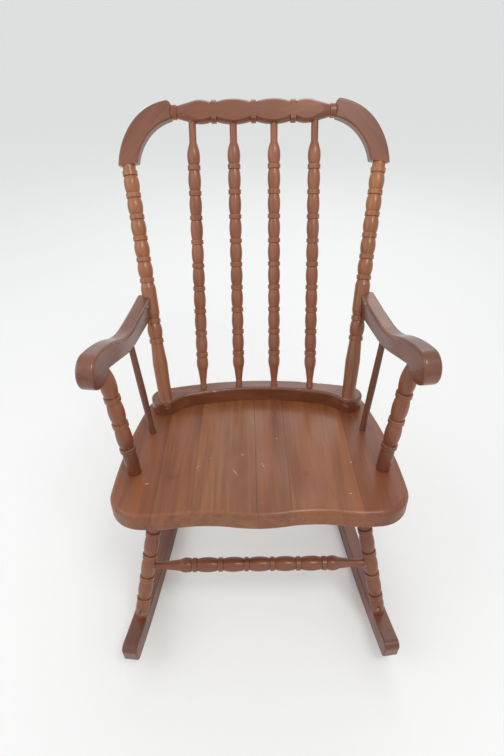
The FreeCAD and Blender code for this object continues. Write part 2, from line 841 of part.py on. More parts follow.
def crest_body():
    """The crest as it leaves the lathe: one half with its bulbs and rings, and its mirror."""
    body = doc.addObject("PartDesign::Body", "CrestTurning")
    ring = "Sizes.crest_ring / 2"
    groove = "Sizes.crest_groove / 2"
    half_ring = "Sizes.crest_ring_width / 2"
    end_ring = "Sizes.crest_end_ring / 2"
    end_groove = "Sizes.crest_end_groove / 2"
    pitch = "Sizes.crest_pitch"
    far = "Sizes.crest_pitch * 2"
    end_bulb = "Sizes.crest_end_bulb / 2"
    end_shoulder = "%s + %s + Sizes.crest_end_bulb_length" % (pitch, half_ring)
    half = revolved(body, "Half", ("0", "0"), [
        (ring, "0"),
        (ring, half_ring),
        (groove, half_ring),
        (groove, "%s - %s" % (pitch, half_ring), "(Sizes.crest_bulb - Sizes.crest_groove) / 2"),
        (ring, "%s - %s" % (pitch, half_ring)),
        (ring, "%s + %s" % (pitch, half_ring)),
        (groove, "%s + %s" % (pitch, half_ring)),
        ("%s - Sizes.crest_end_step" % end_bulb, end_shoulder,
         "(Sizes.crest_end_bulb - Sizes.crest_groove) / 2"),
        (end_groove, "%s - %s" % (far, half_ring)),
        (end_ring, "%s - %s" % (far, half_ring)),
        (end_ring, "Sizes.crest_half"),
        ("0", "Sizes.crest_half"),
    ])
    mirror = body.newObject("PartDesign::Mirrored", "BothHalves")
    mirror.Originals = [half]
    mirror.MirrorPlane = (origin_item(body, "XY_Plane"), [""])
    body.Tip = mirror
    body.Placement = back_placement() * Placement(Vector(), Rotation(Vector(0, 1, 0), 90))
    return body


def make_crest():
    """The crest rail: turned, planed flat in front and behind, and bored for the spindles."""
    plank = doc.addObject("Part::Box", "CrestPlank")
    bind(plank, {"Length": "Sizes.crest_half * 2", "Width": "Sizes.crest_planed",
                 "Height": "Sizes.crest_bulb"})
    plank.Placement = back_placement() * Placement(
        Vector(-size("crest_half"), -size("crest_planed") / 2, -size("crest_bulb") / 2), Rotation())
    planed = doc.addObject("Part::MultiCommon", "PlanedCrest")
    planed.Shapes = [crest_body(), plank]
    tools = [drill("CrestSocket%d" % number, cell("spindle_neck"), cell("spindle_tenon"), head, foot)
             for number, (foot, head) in enumerate(all_spindle_ends())]
    tools += [cylinder("CrestDowelHole%d" % number, "Sizes.dowel + 2 * Sizes.glue_gap",
                       "Sizes.dowel_length + 2 * Sizes.socket_floor", dowel_placement(side, level, True))
              for number, (side, level) in enumerate(dowel_places())]
    publish("crest_rail", cut("CrestRail", planed, tools))


def dowel_places():
    """Two dowels, one above the other, at each end of the crest."""
    return [(side, level) for side in (LEFT, RIGHT) for level in (-1, 1)]


def dowel_placement(side, level, is_hole):
    """A dowel half in the crest and half in the block, along X."""
    spare = size("socket_floor") if is_hole else 0
    start = size("crest_half") - size("dowel_length") / 2 - spare
    turn = Rotation(Vector(0, 1, 0), 90 * side)
    up = level * size("dowel_spacing") / 2
    return back_placement() * Placement(Vector(side * start, 0, up), turn)


def make_crest_dowels():
    """The four dowels that hold the crest to its corner blocks."""
    dowels = [cylinder("CrestDowel%d" % number, cell("dowel"), cell("dowel_length"),
                       dowel_placement(side, level, False))
              for number, (side, level) in enumerate(dowel_places())]
    group = doc.addObject("Part::Compound", "CrestDowels")
    group.Links = dowels
    publish("crest_dowels", group)


def make_corner_blocks():
    """Two curved blocks, sawn to a quarter bend and rounded along their edges."""
    body = doc.addObject("PartDesign::Body", "BlockBlank")
    start = ("Sizes.crest_half + Sizes.block_corner_round", "Sizes.block_top")
    sketch = outline(body, "FrontView", "XZ_Plane", start, [
        ("Sizes.block_shoulder_x", "-Sizes.block_shoulder_drop", "-Sizes.block_shoulder_swell"),
        ("Sizes.block_side_x", "-Sizes.block_side_drop", "-Sizes.block_side_swell"),
        ("Sizes.block_foot_x", "-Sizes.block_foot_drop"),
        ("Sizes.block_elbow_x", "-Sizes.block_elbow_drop", "Sizes.block_foot_swell"),
        ("Sizes.crest_half", "-Sizes.block_inner_drop", "Sizes.block_elbow_swell"),
        ("Sizes.crest_half", "Sizes.block_top - Sizes.block_corner_round"),
        start + ("-%g * Sizes.block_corner_round" % BLOCK_CORNER_SWELL,),
    ])
    board = padded(body, "Board", sketch, cell("block_thickness"))
    half = size("block_thickness") / 2
    rounded(body, "Softened", board, cell("block_edge_round"),
            lambda edge: (in_plane(edge, "y", half) or in_plane(edge, "y", -half))
            and isinstance(edge.Curve, Part.Circle))
    body.Placement = back_placement() * Placement(Vector(0, size("block_setback"), 0), Rotation())
    foot, head = post_ends(RIGHT)
    upward = (head - foot).normalize()
    tools = [
        drill("BlockMortise", cell("post_tenon"), cell("post_tenon_length"), head, foot),
        cylinder("BlockNeckSeat", "Sizes.post_neck + 2 * Sizes.glue_gap", "Sizes.post_neck",
                 stick(head - upward * size("post_neck"), head)),
    ]
    tools += [cylinder("BlockDowelHole%d" % number, "Sizes.dowel + 2 * Sizes.glue_gap",
                       "Sizes.dowel_length + 2 * Sizes.socket_floor",
                       dowel_placement(side, level, True))
              for number, (side, level) in enumerate(dowel_places()) if side == RIGHT]
    publish_pair("corner_block", cut("CornerBlock", body, tools))


# Seat and back rail

def seat_outline(body):
    """The seat's plan: straight cheeks, a waved front edge and rounded rear corners."""
    lead = "-Sizes.seat_cheek_lead"
    corner = "-Sizes.seat_corner_lead"
    nose = "-Sizes.seat_nose_lead"
    return outline(body, "Plan", "XY_Plane", ("-Sizes.seat_nose_x", nose), [
        ("Sizes.seat_nose_x", nose, "Sizes.seat_nose_swell"),
        ("Sizes.seat_cheek_x", lead, "-Sizes.seat_hollow_depth"),
        ("Sizes.seat_corner_x", corner, "Sizes.seat_cheek_swell"),
        ("Sizes.seat_side_x", "0", "Sizes.seat_corner_swell"),
        ("Sizes.seat_rear_side_x", "Sizes.seat_rear_side_back", "Sizes.seat_side_swell"),
        ("Sizes.seat_rear_corner_x", "Sizes.seat_rear_corner_back", "Sizes.seat_rear_corner_swell"),
        ("-Sizes.seat_rear_corner_x", "Sizes.seat_rear_corner_back", "Sizes.seat_rear_middle_swell"),
        ("-Sizes.seat_rear_side_x", "Sizes.seat_rear_side_back", "Sizes.seat_rear_corner_swell"),
        ("-Sizes.seat_side_x", "0", "Sizes.seat_side_swell"),
        ("-Sizes.seat_corner_x", corner, "Sizes.seat_corner_swell"),
        ("-Sizes.seat_cheek_x", lead, "Sizes.seat_cheek_swell"),
        ("-Sizes.seat_nose_x", nose, "-Sizes.seat_hollow_depth"),
    ])


def seat_blank():
    """The glued-up blank before the sockets are bored."""
    body = doc.addObject("PartDesign::Body", "SeatBlank")
    board = padded(body, "Board", seat_outline(body), cell("seat_thickness"), midplane=False)
    board.Reversed = True
    bottom = -size("seat_thickness")
    top_rounded = rounded(body, "TopRound", board, cell("seat_top_round"),
                          lambda edge: in_plane(edge, "z", 0))
    rounded(body, "BottomRound", top_rounded, cell("seat_bottom_round"),
            lambda edge: in_plane(edge, "z", bottom))
    body.Placement = seat_placement()
    return body


def leg_ends(pair, side):
    """Foot on the rocker and head at the seat's underside of a leg."""
    head = on_seat(side * size(pair + "_leg_head_x"), size(pair + "_leg_head_back"),
                   -size("seat_thickness"))
    foot_y = size(pair + "_leg_foot_y")
    foot = Vector(side * size(pair + "_leg_foot_x"), foot_y, rocker_top(foot_y))
    return foot, head


def rocker_top(y):
    """Height of a rocker's top edge above the floor at a place along the chair."""
    along = (y - size("rocker_contact_y")) / math.cos(math.radians(size("rocker_splay")))
    inner = size("rocker_radius") - size("rocker_depth")
    return size("rocker_radius") - math.sqrt(inner ** 2 - along ** 2)


def seat_sockets():
    """The sockets for legs, arm posts and arm spindles."""
    sockets = []
    for word, side in SIDES.items():
        for pair in ("front", "rear"):
            foot, head = leg_ends(pair, side)
            sockets.append(drill("SeatLegSocket_%s_%s" % (pair, word), cell("leg_neck"),
                                 cell("leg_tenon"), head, foot))
        foot, head = arm_post_ends(side)
        sockets.append(drill("SeatArmPostSocket_" + word, cell("arm_post_foot"), cell("arm_tenon"),
                             foot, head))
        foot, head = arm_spindle_ends(side)
        sockets.append(drill("SeatArmSpindleSocket_" + word, cell("arm_spindle_end"),
                             cell("arm_tenon"), foot, head))
    return sockets


def rail_screw_places():
    """Where the screws come up through the seat into the back rail."""
    behind = size("rail_back_end") + size("rail_back_swell")
    before = size("rail_front_end") + size("rail_front_swell")
    middle = (behind + before) / 2
    bend = size("rail_screw_bend")
    return [(step * size("rail_screw_x"), middle - step ** 2 * bend) for step in (-2, -1, 0, 1, 2)]


def screw_frame(x, back):
    """The frame of a rail screw: it rises square to the seat from a recess in the underside."""
    start = -size("seat_thickness") + size("screw_recess")
    return seat_placement() * Placement(Vector(x, back, start), Rotation())


def screw(name, length, frame):
    """A wood screw: a flat head and a plain shank along the frame's Z."""
    head = cylinder(name + "Head", cell("screw_head"), cell("screw_head_height"), frame)
    shank = cylinder(name + "Shank", cell("screw_shank"), length, frame)
    return joined(name, [head, shank])


def screw_hole(name, length, frame):
    """A bored hole for a screw with the recess that its head is sunk in."""
    back_off = frame * Placement(Vector(0, 0, -size("recess_mouth")), Rotation())
    recess = cylinder(name + "Recess", "Sizes.screw_head + 2 * Sizes.glue_gap",
                      "Sizes.screw_head_height + Sizes.glue_gap + Sizes.recess_mouth", back_off)
    bore = cylinder(name + "Bore", "Sizes.screw_shank + 2 * Sizes.glue_gap",
                    "%s + Sizes.socket_floor" % length, frame)
    return [recess, bore]


def screws(label, name, length, frames):
    """A group of equal screws as one sub-part."""
    group = doc.addObject("Part::Compound", name)
    group.Links = [screw("%s%d" % (name, number), length, frame)
                   for number, frame in enumerate(frames)]
    publish(label, group)


def make_seat():
    """Six boards of the seat, each the blank within its own strip, bored for what it holds."""
    blank = seat_blank()
    tools = seat_sockets()
    for number, (x, back) in enumerate(rail_screw_places()):
        tools += screw_hole("SeatScrew%d" % number, cell("rail_screw_length"), screw_frame(x, back))
    sockets = joined("SeatSockets", tools)
    edge = size("seat_side_x") + size("seat_side_swell") + size("strip_overlap")
    joints = [-edge] + [size("board_joint_%d" % number) for number in range(1, 6)] + [edge]
    for number, (left, right) in enumerate(zip(joints, joints[1:]), start=1):
        strip = doc.addObject("Part::Box", "Strip%d" % number)
        bind(strip, {"Length": "%g" % (right - left), "Width": cell("strip_length"),
                     "Height": cell("strip_height")})
        corner = Vector(left, -size("strip_lead"), -size("strip_drop"))
        strip.Placement = seat_placement() * Placement(corner, Rotation())
        board = doc.addObject("Part::MultiCommon", "BoardStrip%d" % number)
        board.Shapes = [blank, strip]
        bored = doc.addObject("Part::Cut", "SeatBoard%d" % number)
        bored.Base = board
        bored.Tool = sockets
        publish("seat_board_%d" % number, bored)


def make_back_rail():
    """The riser: a bent plan with a lobe round the foot of each back post."""
    body = doc.addObject("PartDesign::Body", "RailBlank")
    plan = [
        ("Sizes.rail_back_end_x", "Sizes.rail_back_end", "-Sizes.rail_back_swell"),
        ("Sizes.rail_lobe_x", "Sizes.rail_lobe", "-Sizes.rail_lobe_swell"),
        ("Sizes.rail_throat_x", "Sizes.rail_throat", "-Sizes.rail_lobe_end_swell"),
        ("Sizes.rail_front_end_x", "Sizes.rail_front_end", "Sizes.rail_throat_swell"),
        ("-Sizes.rail_front_end_x", "Sizes.rail_front_end", "Sizes.rail_front_swell"),
        ("-Sizes.rail_throat_x", "Sizes.rail_throat", "Sizes.rail_throat_swell"),
        ("-Sizes.rail_lobe_x", "Sizes.rail_lobe", "-Sizes.rail_lobe_end_swell"),
        ("-Sizes.rail_back_end_x", "Sizes.rail_back_end", "-Sizes.rail_lobe_swell"),
    ]
    sketch = outline(body, "Plan", "XY_Plane", ("-Sizes.rail_back_end_x", "Sizes.rail_back_end"),
                     plan)
    board = padded(body, "Board", sketch, cell("rail_thickness"), midplane=False)
    top = size("rail_thickness")
    rounded(body, "TopRound", board, cell("rail_top_round"), lambda edge: in_plane(edge, "z", top))
    body.Placement = seat_placement()
    tools = [drill("RailSpindleSocket%d" % number, cell("spindle_foot_neck"), cell("spindle_tenon"),
                   foot, head) for number, (foot, head) in enumerate(all_spindle_ends())]
    tools += [drill("RailPostSocket" + word, cell("post_tenon"), cell("post_tenon_length"),
                    *post_ends(side)) for word, side in SIDES.items()]
    for number, (x, back) in enumerate(rail_screw_places()):
        tools += screw_hole("RailScrew%d" % number, cell("rail_screw_length"), screw_frame(x, back))
    publish("back_rail", cut("BackRail", body, tools))
    screws("rail_screws", "RailScrews", cell("rail_screw_length"),
           [screw_frame(x, back) for x, back in rail_screw_places()])


# Base: legs, stretchers and rockers

def leg_body(name, length, first_ring, pitch, count):
    """A turned leg: rings low down, and a long plain barrel up into the seat."""
    body = doc.addObject("PartDesign::Body", name)
    half_ring = "Sizes.leg_ring_width / 2"
    ring_foot = "%s - %s" % (first_ring, half_ring)
    ring_head = "%s + %s" % (first_ring, half_ring)
    groove = "Sizes.leg_groove / 2"
    revolved(body, "Foot", ("0", "-Sizes.leg_tenon"), [
        ("Sizes.leg_foot / 2", "-Sizes.leg_tenon"),
        ("Sizes.leg_foot / 2", cell("leg_foot_straight")),
        (groove, ring_foot, "(Sizes.leg_bulb - Sizes.leg_foot) / 2"),
        ("Sizes.leg_ring / 2", ring_foot),
        ("Sizes.leg_ring / 2", ring_head),
        ("0", ring_head),
    ])
    beads(body, "Leg", ring_head, pitch, count, cell("leg_groove"), cell("leg_bulb"),
          cell("leg_ring"), cell("leg_ring_width"))
    top = "%s + %s * %s" % (ring_head, pitch, count)
    head = revolved(body, "Head", ("0", top), [
        (groove, top),
        ("Sizes.leg_neck / 2", "%s - Sizes.leg_neck_length" % length,
         "(Sizes.leg_bulb - Sizes.leg_groove) / 2"),
        ("Sizes.leg_neck / 2", "%s + Sizes.leg_tenon" % length),
        ("0", "%s + Sizes.leg_tenon" % length),
    ])
    body.Tip = head
    return body


def stretcher_ends(pair):
    """The two ends of a stretcher on the axes of its legs."""
    return [between(*leg_ends(pair, side), size("stretcher_share")) for side in (LEFT, RIGHT)]


def toe_screw_frame(pair, side):
    """A toe screw: driven from the front or rear of the foot down into the rocker."""
    foot, head = leg_ends(pair, side)
    outward = -1 if pair == "front" else 1
    axis = (head - foot).normalize()
    start = (foot + axis * size("toe_screw_height")
             + Vector(0, outward * (size("leg_foot") / 2 - size("screw_recess")), 0))
    aim = Vector(0, -outward * size("toe_screw_slope"), -1).normalize()
    return Placement(start, Rotation(Vector(0, 0, 1), aim))


def make_legs():
    """Four turned legs, socketed for their stretchers and toe screws."""
    for pair in ("front", "rear"):
        foot, head = leg_ends(pair, RIGHT)
        body = leg_body("LegTurning_" + pair, length_of(foot, head), cell(pair + "_leg_first_ring"),
                        cell(pair + "_leg_pitch"), cell(pair + "_leg_beads"))
        body.Placement = stick(foot, head)
        left_end, right_end = stretcher_ends(pair)
        tools = [drill("StretcherSocket_" + pair, cell("stretcher_end"), "0", right_end, left_end)]
        tools += screw_hole("LegToeScrew_" + pair, cell("toe_screw_length"),
                            toe_screw_frame(pair, RIGHT))
        publish_pair(pair + "_leg", cut("Leg_" + pair, body, tools))


def make_front_stretcher():
    """The front stretcher: six rings and five bulbs between long tapered ends."""
    left, right = stretcher_ends("front")
    half = left.distanceToPoint(right) / 2
    body = doc.addObject("PartDesign::Body", "FrontStretcher")
    ring = "Sizes.stretcher_ring / 2"
    groove = "Sizes.stretcher_groove / 2"
    end = "Sizes.stretcher_end / 2"
    half_ring = "Sizes.stretcher_ring_width / 2"
    first = "-Sizes.stretcher_pitch * Sizes.stretcher_beads / 2"
    ring_foot = "%s - %s" % (first, half_ring)
    ring_head = "%s + %s" % (first, half_ring)
    tip = "-%.4f" % half
    bulb_foot = "%s - Sizes.stretcher_end_bulb" % ring_foot
    bulb_swell = "(Sizes.stretcher_bulb - Sizes.stretcher_groove) / 2"
    revolved(body, "LeftEnd", ("0", tip), [
        (end, tip),
        (end, "%s + Sizes.stretcher_shoulder" % tip),
        (groove, bulb_foot),
        (groove, ring_foot, bulb_swell),
        (ring, ring_foot),
        (ring, ring_head),
        ("0", ring_head),
    ])
    beads(body, "Stretcher", ring_head, cell("stretcher_pitch"), cell("stretcher_beads"),
          cell("stretcher_groove"), cell("stretcher_bulb"), cell("stretcher_ring"),
          cell("stretcher_ring_width"))
    last = "%s + Sizes.stretcher_pitch * Sizes.stretcher_beads" % ring_head
    far = "%.4f" % half
    right_end = revolved(body, "RightEnd", ("0", last), [
        (groove, last),
        (groove, "%s + Sizes.stretcher_end_bulb" % last, bulb_swell),
        (end, "%s - Sizes.stretcher_shoulder" % far),
        (end, far),
        ("0", far),
    ])
    body.Tip = right_end
    body.Placement = Placement((left + right) * 0.5, stick(left, right).Rotation)
    publish("front_stretcher", body)


def make_rear_stretcher():
    """The plain rear stretcher, swelling a little at its middle."""
    left, right = stretcher_ends("rear")
    length = length_of(left, right)
    body = doc.addObject("PartDesign::Body", "RearStretcher")
    end = "Sizes.stretcher_end / 2"
    revolved(body, "Rod", ("0", "0"), [
        (end, "0"),
        (end, "Sizes.stretcher_shoulder"),
        ("Sizes.rear_stretcher_middle / 2", "%s / 2" % length),
        (end, "%s - Sizes.stretcher_shoulder" % length),
        (end, length),
        ("0", length),
    ])
    body.Placement = stick(left, right)
    publish("rear_stretcher", body)


def rocker_height(reach, depth):
    """Height of a rocker's arc, depth above its lower edge, as an expression."""
    return "Sizes.rocker_radius - sqrt((Sizes.rocker_radius - (%s))^2 - (%s)^2)" % (depth, reach)


def rocker_bow(start, end, depth):
    """How far a rocker's arc stands off its chord."""
    ends = [Vector(0, worked_out(reach), worked_out(rocker_height(reach, depth)))
            for reach in (start, end)]
    radius = size("rocker_radius") - worked_out(depth)
    return radius - math.sqrt(radius ** 2 - (ends[0].distanceToPoint(ends[1]) / 2) ** 2)


def rocker_profile(body):
    """Side view of a rocker: two concentric arcs, a rounded nose and a rounded heel."""
    nose = "Sizes.rocker_nose_round"
    heel = "Sizes.rocker_heel_round"
    depth = "Sizes.rocker_depth"
    front = "-Sizes.rocker_front_reach"
    rear = "Sizes.rocker_rear_reach"
    low_front = "%s + %s" % (front, heel)
    top_front = "%s + %s" % (front, nose)
    low_rear = "%s - %s" % (rear, heel)
    top_rear = "%s - %s" % (rear, nose)
    corner = "%g" % CORNER_SWELL
    return outline(body, "SideView", "YZ_Plane", (low_front, rocker_height(low_front, "0")), [
        (low_rear, rocker_height(low_rear, "0"), "%.4f" % rocker_bow(low_front, low_rear, "0"),
         "Sizes.rocker_radius"),
        (rear, "%s + %s" % (rocker_height(rear, "0"), heel), "%s * %s" % (heel, corner)),
        (rear, "%s - %s" % (rocker_height(rear, depth), nose)),
        (top_rear, rocker_height(top_rear, depth), "%s * %s" % (nose, corner)),
        (top_front, rocker_height(top_front, depth),
         "-%.4f" % rocker_bow(top_front, top_rear, depth), "Sizes.rocker_radius - " + depth),
        (front, "%s - %s" % (rocker_height(front, depth), nose), "%s * %s" % (nose, corner)),
        (front, "%s + %s" % (rocker_height(front, "0"), heel)),
        (low_front, rocker_height(low_front, "0"), "%s * %s" % (heel, corner)),
    ])


def make_rockers():
    """Two bandsawn rockers, toed in to the rear, with sockets for the legs."""
    body = doc.addObject("PartDesign::Body", "RockerBlank")
    board = padded(body, "Board", rocker_profile(body), cell("rocker_width"))
    half = size("rocker_width") / 2
    heel = size("rocker_heel_round")
    bevelled(body, "Softened", board, cell("rocker_edge_bevel"),
             lambda edge: (in_plane(edge, "x", half) or in_plane(edge, "x", -half))
             and edge.BoundBox.ZMin > heel)
    body.Placement = Placement(
        Vector(size("rocker_contact_x"), size("rocker_contact_y"), 0),
        Rotation(Vector(0, 0, 1), size("rocker_splay")))
    tools = []
    for pair in ("front", "rear"):
        foot, head = leg_ends(pair, RIGHT)
        tools.append(drill("RockerSocket_" + pair, cell("leg_foot"), cell("leg_tenon"), foot, head))
        tools += screw_hole("RockerToeScrew_" + pair, cell("toe_screw_length"),
                            toe_screw_frame(pair, RIGHT))
    publish_pair("rocker", cut("Rocker", body, tools))
    screws("rocker_screws", "RockerScrews", cell("toe_screw_length"),
           [toe_screw_frame(pair, side) for pair in ("front", "rear") for side in (LEFT, RIGHT)])


def check_document():
    """Stop if any feature failed or any sub-part is empty or broken."""
    for thing in doc.Objects:
        if "Invalid" in thing.State or "Error" in thing.State:
            raise RuntimeError("%s failed: %s" % (thing.Label, thing.State))
    for label, thing in parts.items():
        shape = thing.Shape
        if shape.isNull() or not shape.isValid() or not shape.Solids:
            raise RuntimeError("%s has no valid solid" % label)


def export():
    """Write each sub-part to its own file."""
    os.makedirs("parts", exist_ok=True)
    for label, thing in parts.items():
        thing.Shape.exportStep("parts/%s.step" % label)


make_seat()
make_back_rail()
make_posts()
make_spindles()
make_crest()
make_crest_dowels()
make_corner_blocks()
make_arms()
make_arm_supports()
make_legs()
make_front_stretcher()
make_rear_stretcher()
make_rockers()
doc.recompute()
check_document()
export()
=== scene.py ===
import math

import bpy
import numpy as np
from mathutils import Matrix, Vector

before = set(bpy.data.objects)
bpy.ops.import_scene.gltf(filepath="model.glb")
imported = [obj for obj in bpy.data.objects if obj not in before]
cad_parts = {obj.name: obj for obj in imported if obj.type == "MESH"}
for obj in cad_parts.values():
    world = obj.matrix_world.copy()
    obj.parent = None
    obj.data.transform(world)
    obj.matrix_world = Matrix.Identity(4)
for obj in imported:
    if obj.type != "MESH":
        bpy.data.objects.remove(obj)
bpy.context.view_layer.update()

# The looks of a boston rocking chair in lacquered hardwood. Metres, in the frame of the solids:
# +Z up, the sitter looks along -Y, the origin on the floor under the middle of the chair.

MM = 0.001

# camera, solved from the photograph's perspective
CAMERA_PLACE = Vector((-0.0108, -0.7590, 1.0793))
CAMERA_PITCH = math.radians(39.27)
CAMERA_YAW = math.radians(0.10)
CAMERA_ROLL = math.radians(-0.76)
CAMERA_LENS = 23.64
SENSOR = 36.0

# the room
FLOOR_HALF = 40.0
FLOOR_COLOUR = "#EFEFED"
FLOOR_GLOW = 0.13
ROOM_COLOUR = "#EEF0F1"
ROOM_LIGHT = 0.80

# tones of turned pieces that differ from the rest
ARM_SPINDLE_TONE = "#7A4731"
LEG_TONE = "#8C5336"

# how far the light sees an edge as rounded, and the dark line of a glue joint
EDGE_SOFTNESS = 1.6 * MM
JOINT_REACH = 1.5 * MM
JOINT_DEPTH = 0.55

# the grain: noise scale across a piece, and how far it is drawn out along it
BANDS = (26, 0.10)
STREAKS = (150, 0.035)
PORES = (900, 0.022)
CLOUD_SCALE = 9
CHIP_SCALE = 55
SEED_SHIFT = (0.37, 0.53, 0.71)
DARK_FIGURE = (0.70, 0.62, 0.60, 1)
LIGHT_STREAK = (1.28, 1.30, 1.25, 1)
CLOUD_TINT = (0.84, 0.76, 0.78, 1)
STREAK_DEPTH = 0.40
PORE_DEPTH = 0.42
PORE_SHADE = 0.45

# wear and a painted highlight on the edges, painted shade in the grooves, and the lacquer
WEAR_AND_HIGHLIGHT_REACH = 5 * MM
PAINTED_SHADE_REACH = 10 * MM
PAINTED_SHADE_DEPTH = 0.50
PAINTED_SHADE_FACTOR = 0.22
LACQUER_IOR = 1.5
COAT_ROUGHNESS = 0.16
RELIEF_HEIGHT = 0.4 * MM
RELIEF_STRENGTH = 0.12

# marks on the seat
SCRATCH_COLOUR = "#D9B092"
SPECK_COLOUR = "#CFA182"
SPECK_SCALE = 46.0

# screws: stained and bright steel
STAINED_STEEL = "#6A5A4C"
BRIGHT_STEEL = "#B4B2AC"

# lower ends of posts: their tone, and where it begins to change and has changed, as shares of the length
ARM_POST_LOW = ("#7E4A32", 0.22, 0.50)
BACK_POST_LOW = ("#965C36", 0.34, 0.60)

# lamps: name, place, the point they look at, size and power
LAMPS = [
    ("KeyLamp", (0.6, -1.1, 2.6), (0, 0, 0.5), 0.7, 16),
    ("FillLamp", (-1.9, -0.6, 1.8), (0, 0, 0.5), 1.6, 9),
    ("BackLamp", (0.4, 2.0, 2.0), (0, 0, 0.6), 1.4, 8),
]

# seat: its boards from left to right, each in its own tone
BOARD_TONES = ["#8C5231", "#935936", "#966039", "#905836", "#955A33", "#8B5130"]
SEAT_TILT = math.radians(6.05)

# Marks on the seat in the plane of its top: x and y of the middle, half length, half width and turn.
KNOTS = [(-0.152, -0.196, 0.017, 0.013, 0.3), (0.083, -0.193, 0.011, 0.009, 1.2)]
SCRATCHES = [
    (-0.108, -0.172, 0.009, 0.0011, 0.9),
    (-0.041, -0.188, 0.011, 0.0013, 2.1),
    (0.008, -0.171, 0.009, 0.0012, 2.0),
    (-0.029, -0.142, 0.003, 0.0020, 0.8),
    (-0.086, -0.150, 0.002, 0.0016, 0.0),
    (0.036, -0.098, 0.003, 0.0015, 1.6),
    (0.166, -0.166, 0.003, 0.0022, 1.6),
    (0.152, -0.241, 0.004, 0.0013, 0.2),
    (-0.193, -0.212, 0.004, 0.0018, 0.5),
]

# tone, colour of the worn and highlit edge, gloss, and strength of the edge wear and painted highlight of
# each kind of piece
WOODS = {
    "seat": dict(tone="#925834", worn_and_highlit="#BE8658", rough=0.42, coat=0.18, wear_and_highlight_strength=0.40),
    "rail": dict(tone="#804A2E", worn_and_highlit="#B27A50", rough=0.34, coat=0.35, wear_and_highlight_strength=0.75),
    "turned": dict(tone="#9E6140", worn_and_highlit="#C6916A", rough=0.38, coat=0.24, wear_and_highlight_strength=0.8),
    "post": dict(tone="#A8693E", worn_and_highlit="#CE9A70", rough=0.36, coat=0.26, wear_and_highlight_strength=0.8),
    "arm": dict(tone="#804C34", worn_and_highlit="#A97A5C", rough=0.30, coat=0.45, wear_and_highlight_strength=0.45),
    "block": dict(tone="#87523A", worn_and_highlit="#A8775C", rough=0.38, coat=0.24, wear_and_highlight_strength=0.35),
    "crest": dict(tone="#925838", worn_and_highlit="#C4905F", rough=0.38, coat=0.26, wear_and_highlight_strength=0.8),
    "rocker": dict(tone="#784631", worn_and_highlit="#A67656", rough=0.40, coat=0.25, wear_and_highlight_strength=0.8),
    "dowel": dict(tone="#B99B78", worn_and_highlit="#C8AC8A", rough=0.55, coat=0.0, wear_and_highlight_strength=0.2),
}


def linear(colour):
    """A written #RRGGBB colour as linear red, green, blue and alpha."""
    parts = [int(colour[i:i + 2], 16) / 255 for i in (1, 3, 5)]
    return tuple([p / 12.92 if p <= 0.04045 else ((p + 0.055) / 1.055) ** 2.4 for p in parts] + [1.0])


def scaled(colour, factor):
    """A linear colour made darker or lighter."""
    return tuple([min(1.0, c * factor) for c in colour[:3]] + [1.0])


class Tree:
    """A short way to write a node tree."""

    def __init__(self, name):
        self.material = bpy.data.materials.new(name)
        self.material.use_nodes = True
        self.tree = self.material.node_tree
        self.tree.nodes.clear()

    def node(self, kind, sockets=(), **settings):
        made = self.tree.nodes.new(kind)
        for key, value in settings.items():
            setattr(made, key, value)
        for key, value in dict(sockets).items():
            if isinstance(value, bpy.types.NodeSocket):
                self.tree.links.new(value, made.inputs[key])
            else:
                made.inputs[key].default_value = value
        return made

    def math(self, operation, a, b=0.0, clamp=False):
        return self.node("ShaderNodeMath", {0: a, 1: b}, operation=operation, use_clamp=clamp).outputs[0]

    def ramp(self, value, low, high, out_low=0.0, out_high=1.0):
        made = self.node("ShaderNodeMapRange", {"Value": value, "From Min": low, "From Max": high,
                                                "To Min": out_low, "To Max": out_high},
                         interpolation_type="SMOOTHSTEP")
        return made.outputs["Result"]

    def blend(self, factor, a, b, mode="MIX"):
        made = self.node("ShaderNodeMix", {0: factor, 6: a, 7: b}, data_type="RGBA", blend_type=mode)
        return made.outputs[2]

    def noise(self, vector, scale, detail=3.0, rough=0.5, distortion=0.0):
        made = self.node("ShaderNodeTexNoise", {"Vector": vector, "Scale": scale, "Detail": detail,
                                                "Roughness": rough, "Distortion": distortion})
        return made.outputs["Fac"]

    def stretched(self, vector, x, y, z):
        return self.node("ShaderNodeMapping", {"Vector": vector, "Scale": (x, y, z)}).outputs[0]

    def finish(self, shader):
        self.node("ShaderNodeOutputMaterial", {"Surface": shader.outputs[0]})
        return self.material


def long_axis(name):
    """Middle and long direction of a CAD node, from its own vertices."""
    points = np.array([v.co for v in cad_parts[name].data.vertices], float)
    middle = points.mean(0)
    spread, directions = np.linalg.eigh(np.cov((points - middle).T))
    axis = Vector(directions[:, int(spread.argmax())])
    if axis.z < -0.01 or (abs(axis.z) <= 0.01 and axis.y + axis.x < 0):
        axis.negate()
    low, high = [float(v) for v in np.percentile((points - middle) @ np.array(axis), [0, 100])]
    return Vector(middle), axis, low, high


def piece_coordinates(t, middle, axis):
    """Coordinates whose Z runs along the grain, in metres from the middle of the piece."""
    place = t.node("ShaderNodeTexCoord").outputs["Object"]
    turn = axis.to_track_quat("Z", "Y").to_euler()
    return t.node("ShaderNodeMapping", {"Vector": place, "Location": middle, "Rotation": turn},
                  vector_type="TEXTURE").outputs[0]


